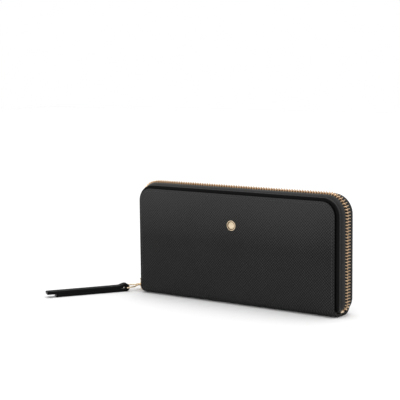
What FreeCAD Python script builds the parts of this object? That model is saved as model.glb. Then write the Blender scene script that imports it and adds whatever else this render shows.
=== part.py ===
import FreeCAD, Part
import os
import math
from FreeCAD import Vector, Placement, Rotation

# A zip-around long wallet, standing on its spine with the zip closed.
# Origin: centre of the spine's flat underside.  +X along the length, the front
# face looks to -Y, +Z up.  Millimetres.

# ---- driving dimensions -------------------------------------------------
LENGTH = 196.0            # cover, end to end
HEIGHT = 94.0             # underside of the spine to the cover's top edge
THICKNESS = 27.0          # front face to back face, zip closed
CORNER = 12.0             # radius of the covers' top corners
SPINE_RADIUS = 8.5        # rounding of the fold from cover to spine
FOLD_Z = 9.0              # height of the fold line where a cover turns
LEATHER = 1.4
BOARD = 0.6
LINING = 0.4
TAPE = 0.6                # zip tape
TAPE_OUT = 5.0            # middle of the tape, outside the cover's edge
CHAIN_HALF = 3.0          # half the width of the closed zip chain
TAPE_EDGE = 1.3           # tape bead to the middle plane
TOOTH_PITCH = 2.5
TOOTH_THICK = 1.05
TOOTH_HALF_HEIGHT = 1.3
TOOTH_HOOK = 0.8          # how far a tooth reaches past the middle plane
SLIDER_LOW = 1.0          # lowest point of the slider with the zip closed
SLIDER_LONG = 10.0
POCKET_HALF = 92.0        # coin pocket, half length
POCKET_INSIDE = 2.5       # coin pocket, half the inside gap
POCKET_WALL = 0.7
POCKET_TOP = 73.0
CARD_HALF = 84.0          # card pockets, half length
CARD_LAYER = 0.6
CARD_LAYERS = 4
STUD_X = 0.0
STUD_Z = 68.0
STUD_RADIUS = 4.9
BAIL_OUT = 10.2           # slider's vertical bail bar, outside the cover's edge
LINK_YAW = 66.0           # link's heading, from -X towards the front
LINK_REACH = 16.5         # bail bar to the bar that carries the strap
LINK_WIRE = 0.7           # radius of the link's wire
LINK_Z = 4.6              # link at the bail
STRAP_YAW = 56.0
STRAP_HALF = 3.8
STRAP_THICK = 2.0
STRAP_LONG = 72.0         # upper leg, from the link's bar
STRAP_SHORT = 61.5        # lower leg
STRAP_EYE = 1.5           # inside radius of the fold round the link's bar

HALF = LENGTH / 2
FACE = THICKNESS / 2
STRAIGHT_TOP = HEIGHT - CORNER
COVER_DEEP = LEATHER + BOARD + LINING
SLIDER_TOP = SLIDER_LOW + SLIDER_LONG
LEFT_TAPE_END = 6.3       # where the covers' tape starts at the closed end
RIGHT_TAPE_END = 12.3
RIGHT_TURN_Z = 12.0       # the zip's far end turns inwards below this
RIGHT_TURN = 9.0
START_TAPE = (2.6, 6.0)    # heights of the fixed tape at the closed end


def box(x, y, z):
    """A block from three (low, high) pairs."""
    size = Vector(x[1] - x[0], y[1] - y[0], z[1] - z[0])
    return Part.makeBox(size.x, size.y, size.z, Vector(x[0], y[0], z[0]))


def join(shapes):
    """One solid from shapes that meet."""
    shapes = list(shapes)
    return shapes[0].multiFuse(shapes[1:]).removeSplitter()


def group(shapes):
    """Separate solids kept in one node."""
    return Part.makeCompound(list(shapes))


def face_of(points):
    return Part.Face(Part.makePolygon(list(points) + [points[0]]))


def to_back(shape):
    """The matching piece on the other side of the middle plane."""
    return shape.mirror(Vector(0, 0, 0), Vector(0, 1, 0))


def to_right(shape):
    return shape.mirror(Vector(0, 0, 0), Vector(1, 0, 0))


def tube(centre, direction, radius, length):
    return Part.makeCylinder(radius, length, centre, direction)


nodes = {}


def both_sides(name, shape):
    """The front piece and its mirror image on the back cover."""
    nodes["front_" + name] = shape
    nodes["back_" + name] = to_back(shape)


# ---- covers -------------------------------------------------------------
def panel(depth, thick, inset, low):
    """An upright sheet with rounded top corners, depth below the front face."""
    half = HALF - inset
    top = HEIGHT - inset
    radius = CORNER - inset
    y = -FACE + depth
    diagonal = radius * math.sqrt(0.5)
    left = Vector(-half + radius, y, top - radius)
    right = Vector(half - radius, y, top - radius)
    a = Vector(-half, y, low)
    b = Vector(-half, y, top - radius)
    c = Vector(-half + radius, y, top)
    d = Vector(half - radius, y, top)
    e = Vector(half, y, top - radius)
    f = Vector(half, y, low)
    edges = [
        Part.LineSegment(a, b).toShape(),
        Part.Arc(b, left + Vector(-diagonal, 0, diagonal), c).toShape(),
        Part.LineSegment(c, d).toShape(),
        Part.Arc(d, right + Vector(diagonal, 0, diagonal), e).toShape(),
        Part.LineSegment(e, f).toShape(),
        Part.LineSegment(f, a).toShape(),
    ]
    return Part.Face(Part.Wire(edges)).extrude(Vector(0, thick, 0))


def rim(section, left_low, right_low):
    """A strip round the left, top and right edges of a cover.

    The section's points are (depth below the face, distance outside the edge).
    """
    left_face = face_of([Vector(-HALF - out, -FACE + deep, left_low) for deep, out in section])
    left_top = left_face.translated(Vector(0, 0, STRAIGHT_TOP - left_low))
    top_face = face_of([Vector(-HALF + CORNER, -FACE + deep, HEIGHT + out) for deep, out in section])
    right_corner = top_face.translated(Vector(2 * (HALF - CORNER), 0, 0))
    right_face = face_of([Vector(HALF + out, -FACE + deep, STRAIGHT_TOP) for deep, out in section])
    axis = Vector(0, 1, 0)
    return join([
        left_face.extrude(Vector(0, 0, STRAIGHT_TOP - left_low)),
        left_top.revolve(Vector(-HALF + CORNER, 0, STRAIGHT_TOP), axis, 90),
        top_face.extrude(Vector(2 * (HALF - CORNER), 0, 0)),
        right_corner.revolve(Vector(HALF - CORNER, 0, STRAIGHT_TOP), axis, 90),
        right_face.extrude(Vector(0, 0, right_low - STRAIGHT_TOP)),
    ])


def cover_panels():
    """Outer leather, stiffener board and lining, each with the stud's hole."""
    hole = tube(Vector(STUD_X, -FACE - 1, STUD_Z), Vector(0, 1, 0), 1.25, COVER_DEEP + 2)
    leather = panel(0, LEATHER, 0, FOLD_Z)
    board = panel(LEATHER, BOARD, 0.6, FOLD_Z + 2)
    lining = panel(LEATHER + BOARD, LINING, 0.3, FOLD_Z + 0.5)
    for name, sheet in (("leather", leather), ("board", board), ("lining", lining)):
        nodes["front_" + name] = sheet.cut(hole)
        nodes["back_" + name] = to_back(sheet)


WELT_SECTION = [
    (2.4, -5.0), (2.4, -0.8), (3.2, -1.0), (3.9, 0.6), (5.0, 1.7), (6.5, 2.3), (7.5, 2.0),
    (7.7, 1.2), (6.6, 1.0), (5.2, 0.4), (4.3, -1.0), (3.3, -2.2), (3.3, -5.0),
]
TAPE_SECTION = [
    (5.4, 0.2), (6.6, 0.8), (8.0, 1.1), (8.7, TAPE_OUT + TAPE / 2),
    (FACE - TAPE_EDGE, TAPE_OUT + TAPE / 2), (FACE - TAPE_EDGE, TAPE_OUT - TAPE / 2),
    (9.2, TAPE_OUT - TAPE / 2), (8.5, 0.6), (6.7, 0.2), (5.6, -0.3),
]


# ---- zip ----------------------------------------------------------------
def tooth(thick, low, high, edge, hook, slot):
    """One tooth of a front chain: X along the chain, Z outwards.

    It clamps the tape behind edge and hooks past the middle plane.
    """
    block = box((-thick / 2, thick / 2), (low, hook), (-high, high))
    clamp = box((-thick, thick), (low - 1, -edge), (-slot, slot))
    return block.cut(clamp)


def on_zip(distance):
    """Place and turn at a distance along the chain, from the slider's top."""
    radius = CORNER + TAPE_OUT
    side = STRAIGHT_TOP - SLIDER_TOP
    bend = radius * math.pi / 2
    top = 2 * (HALF - CORNER)
    if distance < side:
        return Vector(-HALF - TAPE_OUT, 0, SLIDER_TOP + distance), -90
    distance -= side
    if distance < bend:
        turn = -90 + math.degrees(distance / radius)
        centre = Vector(-HALF + CORNER, 0, STRAIGHT_TOP)
        angle = math.radians(turn)
        return centre + Vector(math.sin(angle), 0, math.cos(angle)) * radius, turn
    distance -= bend
    if distance < top:
        return Vector(-HALF + CORNER + distance, 0, HEIGHT + TAPE_OUT), 0
    distance -= top
    if distance < bend:
        turn = math.degrees(distance / radius)
        centre = Vector(HALF - CORNER, 0, STRAIGHT_TOP)
        angle = math.radians(turn)
        return centre + Vector(math.sin(angle), 0, math.cos(angle)) * radius, turn
    distance -= bend
    return Vector(HALF + TAPE_OUT, 0, STRAIGHT_TOP - distance), 90


def turned(shape, place, angle):
    copy = shape.copy()
    copy.Placement = Placement(place, Rotation(Vector(0, 1, 0), angle))
    return copy


def outer_teeth():
    """Both halves of the main chain, the back teeth half a pitch further on."""
    front = tooth(TOOTH_THICK, -CHAIN_HALF, TOOTH_HALF_HEIGHT, TAPE_EDGE, TOOTH_HOOK, TAPE / 2 + 0.02)
    back = to_back(front)
    whole = (STRAIGHT_TOP - SLIDER_TOP + math.pi * (CORNER + TAPE_OUT) + 2 * (HALF - CORNER)
             + STRAIGHT_TOP - RIGHT_TAPE_END - TOOTH_PITCH)
    count = int(whole / TOOTH_PITCH)
    start = TOOTH_PITCH / 2
    nodes["front_zip_teeth"] = group(
        turned(front, *on_zip(start + i * TOOTH_PITCH)) for i in range(count))
    nodes["back_zip_teeth"] = group(
        turned(back, *on_zip(start + (i + 0.5) * TOOTH_PITCH)) for i in range(count))


def tail(half_low, half_high, out_low, out_high, top, radius, sweep):
    """A strip of the right-hand zip end that curls in under the covers."""
    section = face_of([
        Vector(HALF + out_low, half_low, top),
        Vector(HALF + out_high, half_low, top),
        Vector(HALF + out_high, half_high, top),
        Vector(HALF + out_low, half_high, top),
    ])
    centre = Vector(HALF + TAPE_OUT - radius, 0, top)
    return section.revolve(centre, Vector(0, 1, 0), sweep)


def zip_ends():
    """The fixed ends of the zip: tapes, last teeth, bottom stop and top stops."""
    low = TAPE_OUT - TAPE / 2
    high = TAPE_OUT + TAPE / 2
    far = tail(-6.0, -TAPE_EDGE, low, high, RIGHT_TURN_Z, RIGHT_TURN, 76)
    nodes["zip_end_tape"] = group([far, to_back(far)])
    near = face_of([Vector(-HALF - out, -FACE + deep, START_TAPE[0]) for deep, out in TAPE_SECTION])
    near = near.extrude(Vector(0, 0, START_TAPE[1] - START_TAPE[0]))
    nodes["zip_start_tape"] = group([near, to_back(near)])
    front = tooth(TOOTH_THICK, -CHAIN_HALF, TOOTH_HALF_HEIGHT, TAPE_EDGE, TOOTH_HOOK, TAPE / 2 + 0.05)
    back = to_back(front)
    centre = Vector(HALF + TAPE_OUT - RIGHT_TURN, 0, RIGHT_TURN_Z)
    step = 8.0
    teeth = []
    for i in range(8):
        turn = 94 + i * step
        angle = math.radians(turn)
        place = centre + Vector(math.sin(angle), 0, math.cos(angle)) * RIGHT_TURN
        teeth.append(turned(front if i % 2 == 0 else back, place, turn))
    nodes["zip_end_teeth"] = group(teeth)
    stop = tail(-2.6, 2.6, TAPE_OUT - 1.3, TAPE_OUT + 1.3, RIGHT_TURN_Z, RIGHT_TURN, 12)
    stop = turned_about(stop, centre, 64)
    nodes["zip_bottom_stop"] = stop.cut(nodes["zip_end_tape"])
    clip = box((-HALF - 6.3, -HALF - 3.7), (-2.9, -TAPE_EDGE + 0.2), (1.4, 3.2)).cut(near)
    nodes["zip_top_stops"] = group([clip, to_back(clip)])


def turned_about(shape, centre, angle):
    copy = shape.copy()
    copy.rotate(centre, Vector(0, 1, 0), angle)
    return copy


def slider():
    """Slider body: two plates, side flanges and the post that parts the chain."""
    low = (SLIDER_LOW, SLIDER_TOP)
    outer = box((-HALF - 7.5, -HALF - 6.6), (-3.9, 3.9), low)
    inner = box((-HALF - 3.4, -HALF - 2.5), (-3.6, 3.6), low)
    post = box((-HALF - 6.6, -HALF - 3.4), (-1.0, 1.0), (SLIDER_LOW + 0.8, SLIDER_LOW + 3.8))
    outer_lip = box((-HALF - 6.6, -HALF - 5.6), (-3.9, -3.2), low)
    inner_lip = box((-HALF - 4.4, -HALF - 3.4), (-3.6, -3.2), low)
    cut = face_of([
        Vector(-HALF, -2.9, SLIDER_TOP + 1), Vector(-HALF, -2.9, SLIDER_TOP),
        Vector(-HALF, -4.5, SLIDER_TOP - 5), Vector(-HALF, -4.5, SLIDER_TOP + 1),
    ]).extrude(Vector(-12, 0, 0))
    body = join([outer, inner, post, outer_lip, inner_lip, to_back(outer_lip), to_back(inner_lip)])
    nodes["slider_body"] = body.cut(cut).cut(to_back(cut))
    middle = -HALF - BAIL_OUT
    bar = tube(Vector(middle, 0, SLIDER_LOW + 1.2), Vector(0, 0, 1), 0.6, 7.6)
    feet = [
        box((middle - 0.6, -HALF - 7.5), (-0.9, 0.9), (z, z + 1.0))
        for z in (SLIDER_LOW + 1.2, SLIDER_LOW + 7.8)
    ]
    nodes["slider_bail"] = join([bar] + feet)


# ---- pull ---------------------------------------------------------------
BAIL = Vector(-HALF - BAIL_OUT, 0, LINK_Z)
STRAP_Z = STRAP_EYE + STRAP_THICK + 0.1
LINK_DROP = math.degrees(math.asin((LINK_Z - STRAP_Z) / LINK_REACH))


def link():
    """Bent-wire link: a small eye round the bail, widening to the strap's bar."""
    eye = 1.7
    wide = 5.2
    reach = LINK_REACH
    neck = 4.5
    shoulder = 9.5
    path = Part.Wire([
        Part.LineSegment(Vector(reach, 0, 0), Vector(reach, wide, 0)).toShape(),
        Part.LineSegment(Vector(reach, wide, 0), Vector(shoulder, wide, 0)).toShape(),
        Part.LineSegment(Vector(shoulder, wide, 0), Vector(neck, eye, 0)).toShape(),
        Part.LineSegment(Vector(neck, eye, 0), Vector(0, eye, 0)).toShape(),
        Part.Arc(Vector(0, eye, 0), Vector(-eye, 0, 0), Vector(0, -eye, 0)).toShape(),
        Part.LineSegment(Vector(0, -eye, 0), Vector(neck, -eye, 0)).toShape(),
        Part.LineSegment(Vector(neck, -eye, 0), Vector(shoulder, -wide, 0)).toShape(),
        Part.LineSegment(Vector(shoulder, -wide, 0), Vector(reach, -wide, 0)).toShape(),
        Part.LineSegment(Vector(reach, -wide, 0), Vector(reach, 0, 0)).toShape(),
    ])
    pieces = []
    for edge in path.Edges:
        start = edge.valueAt(edge.FirstParameter)
        pieces.append(Part.makeSphere(LINK_WIRE, start))
        along = edge.tangentAt(edge.FirstParameter)
        ring = Part.Wire([Part.makeCircle(LINK_WIRE, start, along)])
        if edge.Curve.TypeId == "Part::GeomCircle":
            pieces.append(Part.Wire([edge]).makePipeShell([ring], True, False))
        else:
            pieces.append(tube(start, along, LINK_WIRE, edge.Length))
    wire = pieces[0].multiFuse(pieces[1:])
    wire.rotate(Vector(0, 0, 0), Vector(0, 1, 0), LINK_DROP)
    wire.rotate(Vector(0, 0, 0), Vector(0, 0, 1), 180 + LINK_YAW)
    wire.translate(BAIL)
    nodes["pull_link"] = wire


def strap_bar():
    """Middle of the link's far bar, where the strap is folded over."""
    level = LINK_REACH * math.cos(math.radians(LINK_DROP))
    heading = math.radians(180 + LINK_YAW)
    return Vector(BAIL.x + level * math.cos(heading), level * math.sin(heading), STRAP_Z)


def strap():
    """A leather strip folded round the link's bar, its two legs lying flat."""
    outside = STRAP_EYE + STRAP_THICK
    meet = 9.0
    ring_top = Vector(0, 0, outside)
    ring_back = Vector(-outside, 0, 0)
    ring_low = Vector(0, 0, -outside)
    short_top = -outside + STRAP_THICK
    points = [
        ring_low,
        Vector(STRAP_SHORT, 0, -outside),
        Vector(STRAP_SHORT, 0, short_top),
        Vector(meet, 0, short_top + 0.25),
        Vector(meet, 0, short_top + 0.45),
        Vector(STRAP_LONG, 0, short_top + 0.35),
        Vector(STRAP_LONG, 0, short_top + 0.35 + STRAP_THICK - 0.3),
        Vector(meet + 6, 0, short_top + 0.5 + STRAP_THICK),
        ring_top,
    ]
    edges = [Part.LineSegment(a, b).toShape() for a, b in zip(points, points[1:])]
    edges.append(Part.Arc(ring_top, ring_back, ring_low).toShape())
    side = Part.Face(Part.Wire(edges)).extrude(Vector(0, 2 * STRAP_HALF, 0))
    eye = tube(Vector(0, -1, 0), Vector(0, 1, 0), STRAP_EYE, 2 * STRAP_HALF + 2)
    body = side.cut(eye)
    body.translate(Vector(0, -STRAP_HALF, 0))
    body.rotate(Vector(0, 0, 0), Vector(0, 0, 1), 180 + STRAP_YAW)
    body.translate(strap_bar())
    nodes["pull_strap"] = body


# ---- spine and centre pocket --------------------------------------------
def channel(outside, thick, low, top, half):
    """A U-shaped strip along the length; outside is its distance from the faces."""
    width = FACE - outside
    radius = SPINE_RADIUS - outside
    inner = radius - thick

    def half_ring(w, r, z):
        k = r * math.sqrt(0.5)
        return [
            (Vector(-half, -w, top), Vector(-half, -w, z + r)),
            (Vector(-half, -w, z + r), Vector(-half, -w + r - k, z + r - k), Vector(-half, -w + r, z)),
            (Vector(-half, -w + r, z), Vector(-half, w - r, z)),
            (Vector(-half, w - r, z), Vector(-half, w - r + k, z + r - k), Vector(-half, w, z + r)),
            (Vector(-half, w, z + r), Vector(-half, w, top)),
        ]

    def to_edges(runs):
        made = []
        for run in runs:
            made.append((Part.Arc(*run) if len(run) == 3 else Part.LineSegment(*run)).toShape())
        return made

    outline = to_edges(half_ring(width, radius, low))
    inside = to_edges(half_ring(width - thick, inner, low + thick))
    caps = to_edges([
        (Vector(-half, -width, top), Vector(-half, -width + thick, top)),
        (Vector(-half, width, top), Vector(-half, width - thick, top)),
    ])
    wire = Part.Wire(Part.__sortEdges__(outline + inside + caps))
    return Part.Face(wire).extrude(Vector(2 * half, 0, 0))


def spine():
    nodes["spine_leather"] = channel(0, LEATHER, 0, FOLD_Z, HALF)
    nodes["spine_lining"] = channel(LEATHER, 0.5, LEATHER, FOLD_Z - 0.3, HALF - 1.5)


def coin_pocket():
    """Two walls on the spine, closed at the ends, with a small zip at the top."""
    floor = LEATHER + 0.5
    wall = box((-POCKET_HALF, POCKET_HALF), (-POCKET_INSIDE - POCKET_WALL, -POCKET_INSIDE),
               (floor, POCKET_TOP))
    nodes["coin_pocket_front"] = wall
    nodes["coin_pocket_back"] = to_back(wall)
    end = box((-POCKET_HALF, -POCKET_HALF + 0.7), (-POCKET_INSIDE, POCKET_INSIDE), (floor, POCKET_TOP - 2))
    nodes["coin_pocket_left_end"] = end
    nodes["coin_pocket_right_end"] = to_right(end)


COIN_TAPE_Z = 73.4
COIN_EDGE = 0.9
COIN_SLIDER_X = -84.0
COIN_SLIDER_LONG = 8.0
COIN_PITCH = 2.0


def coin_zip():
    """The coin pocket's tapes, chain and end stops."""
    half = POCKET_HALF - 1.5
    leg = box((-half, half), (-POCKET_INSIDE, -POCKET_INSIDE + 0.4), (64.0, COIN_TAPE_Z + 0.2))
    lip = box((-half, half), (-POCKET_INSIDE + 0.4, -COIN_EDGE), (COIN_TAPE_Z - 0.2, COIN_TAPE_Z + 0.2))
    nodes["coin_zip_tape_front"] = join([leg, lip])
    nodes["coin_zip_tape_back"] = to_back(nodes["coin_zip_tape_front"])
    front = tooth(0.85, -POCKET_INSIDE + 0.45, 0.9, COIN_EDGE, 0.5, 0.2)
    back = to_back(front)
    start = COIN_SLIDER_X + COIN_SLIDER_LONG + 1.0
    count = int((POCKET_HALF - 6 - start) / COIN_PITCH)
    front_teeth = []
    back_teeth = []
    for i in range(count):
        x = start + i * COIN_PITCH
        front_teeth.append(front.translated(Vector(x, 0, COIN_TAPE_Z)))
        back_teeth.append(back.translated(Vector(x + COIN_PITCH / 2, 0, COIN_TAPE_Z)))
    nodes["coin_zip_teeth_front"] = group(front_teeth)
    nodes["coin_zip_teeth_back"] = group(back_teeth)
    end = POCKET_HALF - 5.0
    stop = box((end, end + 1.6), (-1.8, 1.8), (COIN_TAPE_Z - 1.0, COIN_TAPE_Z + 1.0))
    tapes = [nodes["coin_zip_tape_front"], nodes["coin_zip_tape_back"]]
    first = stop.translated(Vector(COIN_SLIDER_X - 2.2 - end, 0, 0))
    nodes["coin_zip_stops"] = group([stop.cut(tapes), first.cut(tapes)])


COIN_PULL_X = COIN_SLIDER_X + 4.0
COIN_PULL_Z = COIN_TAPE_Z + 3.1


def coin_slider():
    """The coin zip's slider with its bail, and the small metal pull."""
    along = (COIN_SLIDER_X, COIN_SLIDER_X + COIN_SLIDER_LONG)
    upper = box(along, (-2.9, 2.9), (COIN_TAPE_Z + 1.1, COIN_TAPE_Z + 1.9))
    lower = box(along, (-1.7, 1.7), (COIN_TAPE_Z - 1.9, COIN_TAPE_Z - 1.1))
    post = box((along[0] + 0.6, along[0] + 2.8), (-0.65, 0.65), (COIN_TAPE_Z - 1.1, COIN_TAPE_Z + 1.1))
    nodes["coin_slider_body"] = join([upper, lower, post])
    top = COIN_TAPE_Z + 1.9
    bar = box((COIN_PULL_X - 3, COIN_PULL_X + 3), (-0.6, 0.6), (top + 2.3, top + 3.1))
    feet = [box((x, x + 1), (-0.6, 0.6), (top, top + 2.3)) for x in (COIN_PULL_X - 3, COIN_PULL_X + 2)]
    nodes["coin_slider_bail"] = join([bar] + feet)
    pin = box((COIN_PULL_X - 0.5, COIN_PULL_X + 0.5), (-2.2, 2.2), (COIN_PULL_Z - 0.45, COIN_PULL_Z + 0.45))
    legs = [
        box((COIN_PULL_X - 0.5, COIN_PULL_X + 5.5), (y, y + 0.8), (COIN_PULL_Z - 0.45, COIN_PULL_Z + 0.45))
        for y in (-2.2, 1.4)
    ]
    tab = box((COIN_PULL_X + 5, COIN_PULL_X + 14), (-2.2, 2.2), (COIN_PULL_Z - 0.45, COIN_PULL_Z + 0.45))
    nodes["coin_pull"] = join([pin, tab] + legs)


def gussets():
    """Four V-folded sheets that join the covers to the centre pocket."""
    near = -POCKET_INSIDE - POCKET_WALL
    far = -FACE + COVER_DEEP
    middle = (near + far) / 2
    outer = POCKET_HALF + 0.6
    fold = POCKET_HALF - 6.5
    sheet = 0.55
    shape = face_of([
        Vector(outer, far, FOLD_Z + 0.5),
        Vector(fold, middle, FOLD_Z + 0.5),
        Vector(outer, near, FOLD_Z + 0.5),
        Vector(outer, near - sheet, FOLD_Z + 0.5),
        Vector(fold + 1.2, middle, FOLD_Z + 0.5),
        Vector(outer, far + sheet, FOLD_Z + 0.5),
    ]).extrude(Vector(0, 0, 62))
    for end, side in (("right", shape), ("left", to_right(shape))):
        nodes["gusset_front_" + end] = side
        nodes["gusset_back_" + end] = to_back(side)


# ---- pockets on the covers ----------------------------------------------
def card_pockets():
    """A banknote panel on each lining, with card pockets stepped down from it."""
    inner = -FACE + COVER_DEEP
    panel_deep = 0.5
    both_sides("bill_panel", box((-CARD_HALF, CARD_HALF), (inner, inner + panel_deep), (FOLD_Z + 1.5, 84.0)))
    for i in range(CARD_LAYERS):
        y = inner + panel_deep + i * CARD_LAYER
        top = 76.0 - i * 9.0
        both_sides("card_pocket_%d" % (i + 1),
                   box((-CARD_HALF, CARD_HALF), (y, y + CARD_LAYER), (FOLD_Z + 2.5, top)))


def stud():
    """A plain domed stud with a raised rim, riveted through the front cover."""
    y = -FACE
    rim_ring = Part.makeTorus(STUD_RADIUS - 0.6, 0.6, Vector(0, 0, 0.7), Vector(0, 0, 1))
    base = Part.makeCylinder(STUD_RADIUS - 0.3, 0.7)
    dome = Part.makeSphere(9.0, Vector(0, 0, -7.4)).common(Part.makeCylinder(3.9, 3.0))
    post = Part.makeCylinder(1.2, COVER_DEEP, Vector(0, 0, -COVER_DEEP))
    cap = join([base, dome, post]).fuse(rim_ring)
    cap.rotate(Vector(0, 0, 0), Vector(1, 0, 0), 90)
    cap.translate(Vector(STUD_X, y, STUD_Z))
    nodes["stud_cap"] = cap
    washer = Part.makeCylinder(3.0, 0.4, Vector(STUD_X, y + COVER_DEEP, STUD_Z), Vector(0, 1, 0))
    nodes["stud_washer"] = washer
    room = Part.makeCylinder(3.2, 3.0, Vector(STUD_X, y + COVER_DEEP - 0.1, STUD_Z), Vector(0, 1, 0))
    for name in ("front_bill_panel", "front_card_pocket_1"):
        nodes[name] = nodes[name].cut(room)


def build():
    cover_panels()
    both_sides("welt", rim(WELT_SECTION, FOLD_Z, FOLD_Z))
    both_sides("zip_tape", rim(TAPE_SECTION, LEFT_TAPE_END, RIGHT_TAPE_END))
    outer_teeth()
    zip_ends()
    slider()
    link()
    strap()
    spine()
    coin_pocket()
    coin_zip()
    coin_slider()
    gussets()
    card_pockets()
    stud()


build()
os.makedirs("parts", exist_ok=True)
for name, shape in nodes.items():
    shape.exportStep("parts/" + name + ".step")
    volume = sum(solid.Volume for solid in shape.Solids)
    print(name, len(shape.Solids), "solids", round(volume, 1), "mm3", "valid", shape.isValid())
bar = strap_bar()
print("bail", BAIL, "strap bar", round(bar.x, 3), round(bar.y, 3), round(bar.z, 3))
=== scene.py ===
import math

import bpy
from mathutils import Matrix, Vector


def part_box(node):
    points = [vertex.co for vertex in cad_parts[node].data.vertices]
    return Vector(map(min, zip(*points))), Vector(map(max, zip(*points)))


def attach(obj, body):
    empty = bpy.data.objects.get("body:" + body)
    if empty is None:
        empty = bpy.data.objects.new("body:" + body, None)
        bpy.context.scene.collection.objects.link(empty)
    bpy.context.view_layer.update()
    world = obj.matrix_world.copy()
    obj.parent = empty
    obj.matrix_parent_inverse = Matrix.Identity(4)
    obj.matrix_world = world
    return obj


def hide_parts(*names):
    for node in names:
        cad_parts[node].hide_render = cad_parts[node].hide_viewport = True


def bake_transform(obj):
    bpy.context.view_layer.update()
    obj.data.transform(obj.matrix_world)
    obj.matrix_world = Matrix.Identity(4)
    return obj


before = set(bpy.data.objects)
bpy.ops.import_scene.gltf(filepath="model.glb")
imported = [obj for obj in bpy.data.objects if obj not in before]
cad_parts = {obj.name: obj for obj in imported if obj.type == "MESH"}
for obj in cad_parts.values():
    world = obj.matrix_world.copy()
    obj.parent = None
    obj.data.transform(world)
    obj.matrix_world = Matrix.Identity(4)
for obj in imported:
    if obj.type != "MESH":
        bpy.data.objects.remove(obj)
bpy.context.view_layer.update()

mm = 0.001


# ---- camera ----
# A long lens a metre away, to the right of the wallet's front and a little above it, held
# a touch off level and aimed past the closed end so that the strap is in the picture too.
azimuth = math.radians(35.46)
elevation = math.radians(7.34)
lean = math.radians(-0.68)
aim = Vector((-34.12 * mm, -10.52 * mm, 87.1 * mm))
lens_side = Vector((
    math.sin(azimuth) * math.cos(elevation),
    -math.cos(azimuth) * math.cos(elevation),
    math.sin(elevation),
))
bpy.ops.object.camera_add(location=aim + lens_side * 1.0298)
camera = bpy.context.object
level = (-lens_side).to_track_quat("-Z", "Y").to_matrix()
camera.rotation_euler = (level @ Matrix.Rotation(lean, 3, "Z")).to_euler()
camera.data.lens = 108.4
camera.data.sensor_width = 36
camera.data.clip_start = 0.01
bpy.context.scene.camera = camera


# ---- floor and light ----
# A white tabletop under a large overhead softbox, with a weaker one on the right and an
# even, white surround.
bpy.ops.mesh.primitive_plane_add(size=5)
floor = bpy.context.object
floor.name = "floor"
floor_paint = bpy.data.materials.new("white_tabletop")
floor_paint.use_nodes = True
floor_shader = floor_paint.node_tree.nodes["Principled BSDF"]
floor_shader.inputs["Base Color"].default_value = (0.74, 0.74, 0.74, 1)
floor_shader.inputs["Roughness"].default_value = 0.8
floor_shader.inputs["Specular IOR Level"].default_value = 0.1
floor.data.materials.append(floor_paint)

surround = bpy.data.worlds.new("surround")
surround.use_nodes = True
surround.node_tree.nodes["Background"].inputs["Color"].default_value = (1, 1, 1, 1)
surround.node_tree.nodes["Background"].inputs["Strength"].default_value = 1.0
bpy.context.scene.world = surround


def softbox(name, place, size, power):
    """A square area light at place, turned to the middle of the wallet."""
    bpy.ops.object.light_add(type="AREA", location=place)
    light = bpy.context.object
    light.name = name
    light.data.size = size
    light.data.energy = power
    towards = Vector((0, 0, 50 * mm)) - Vector(place)
    light.rotation_euler = towards.to_track_quat("-Z", "Y").to_euler()


softbox("softbox_above", (0.5, 0.5, 6), 4.0, 210)
softbox("softbox_right", (4, -1, 2.5), 2.5, 45)
bpy.context.scene.view_settings.view_transform = "Standard"


# ---- outer leather ----
# Black cross-grain leather, 1.4 mm thick, its cut edges painted. The front half runs from
# the top of the front cover down round the fold to the middle of the spine; the back half
# is its mirror image.
class Value:
    """An output of a shader node; sums and products on it add Math nodes."""

    def __init__(self, tree, output):
        self.tree = tree
        self.output = output

    def node(self, kind, settings, sockets, output=0):
        """Adds a node: its settings first, then the values or links of its sockets."""
        new = self.tree.nodes.new(kind)
        for key, value in settings.items():
            setattr(new, key, value)
        for key, value in sockets.items():
            if isinstance(value, Value):
                self.tree.links.new(value.output, new.inputs[key])
            else:
                new.inputs[key].default_value = value
        return Value(self.tree, new.outputs[output])

    def maths(self, operation, first, second=0.0):
        return self.node("ShaderNodeMath", {"operation": operation}, {0: first, 1: second})

    def __add__(self, other):
        return self.maths("ADD", self, other)

    def __mul__(self, other):
        return self.maths("MULTIPLY", self, other)

    def __sub__(self, other):
        return self.maths("SUBTRACT", self, other)

    def __rsub__(self, other):
        return self.maths("SUBTRACT", other, self)

    def __rmul__(self, other):
        return self.maths("MULTIPLY", other, self)

    def __radd__(self, other):
        return self.maths("ADD", other, self)


def start_finish(name):
    """A new material and the Object coordinates that its pattern reads."""
    finish = bpy.data.materials.new(name)
    finish.use_nodes = True
    tree = finish.node_tree
    place = tree.nodes.new("ShaderNodeTexCoord")
    return finish, Value(tree, place.outputs["Object"])


def set_finish(finish, **settings):
    """Sets or links the shader's sockets; a name's underscores stand for spaces."""
    shader = finish.node_tree.nodes["Principled BSDF"]
    for key, value in settings.items():
        socket = shader.inputs[key.replace("_", " ")]
        if isinstance(value, Value):
            finish.node_tree.links.new(value.output, socket)
        else:
            socket.default_value = value


def axes(place):
    """The three coordinates of a place, as three values."""
    split = place.node("ShaderNodeSeparateXYZ", {}, {0: place})
    return [Value(place.tree, output) for output in split.output.node.outputs]


def noise(place, scale, detail):
    """Cloudy noise from 0 to 1; a larger scale makes smaller clouds."""
    return place.node("ShaderNodeTexNoise", {}, {"Vector": place, "Scale": scale, "Detail": detail})


def between(level, dark, light):
    """A colour between two others, nearer to light as level rises to 1."""
    return level.node("ShaderNodeMix", {"data_type": "RGBA"}, {0: level, 6: dark, 7: light}, 2)


def relief(height, depth, strength):
    """A normal that shows a height pattern of a given depth."""
    sockets = {"Height": height, "Distance": depth, "Strength": strength}
    return height.node("ShaderNodeBump", {}, sockets)


def grey(level, warmth=0.0):
    """A neutral colour, or a slightly warm one."""
    return (level * (1 + warmth), level, level * (1 - warmth), 1)


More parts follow.
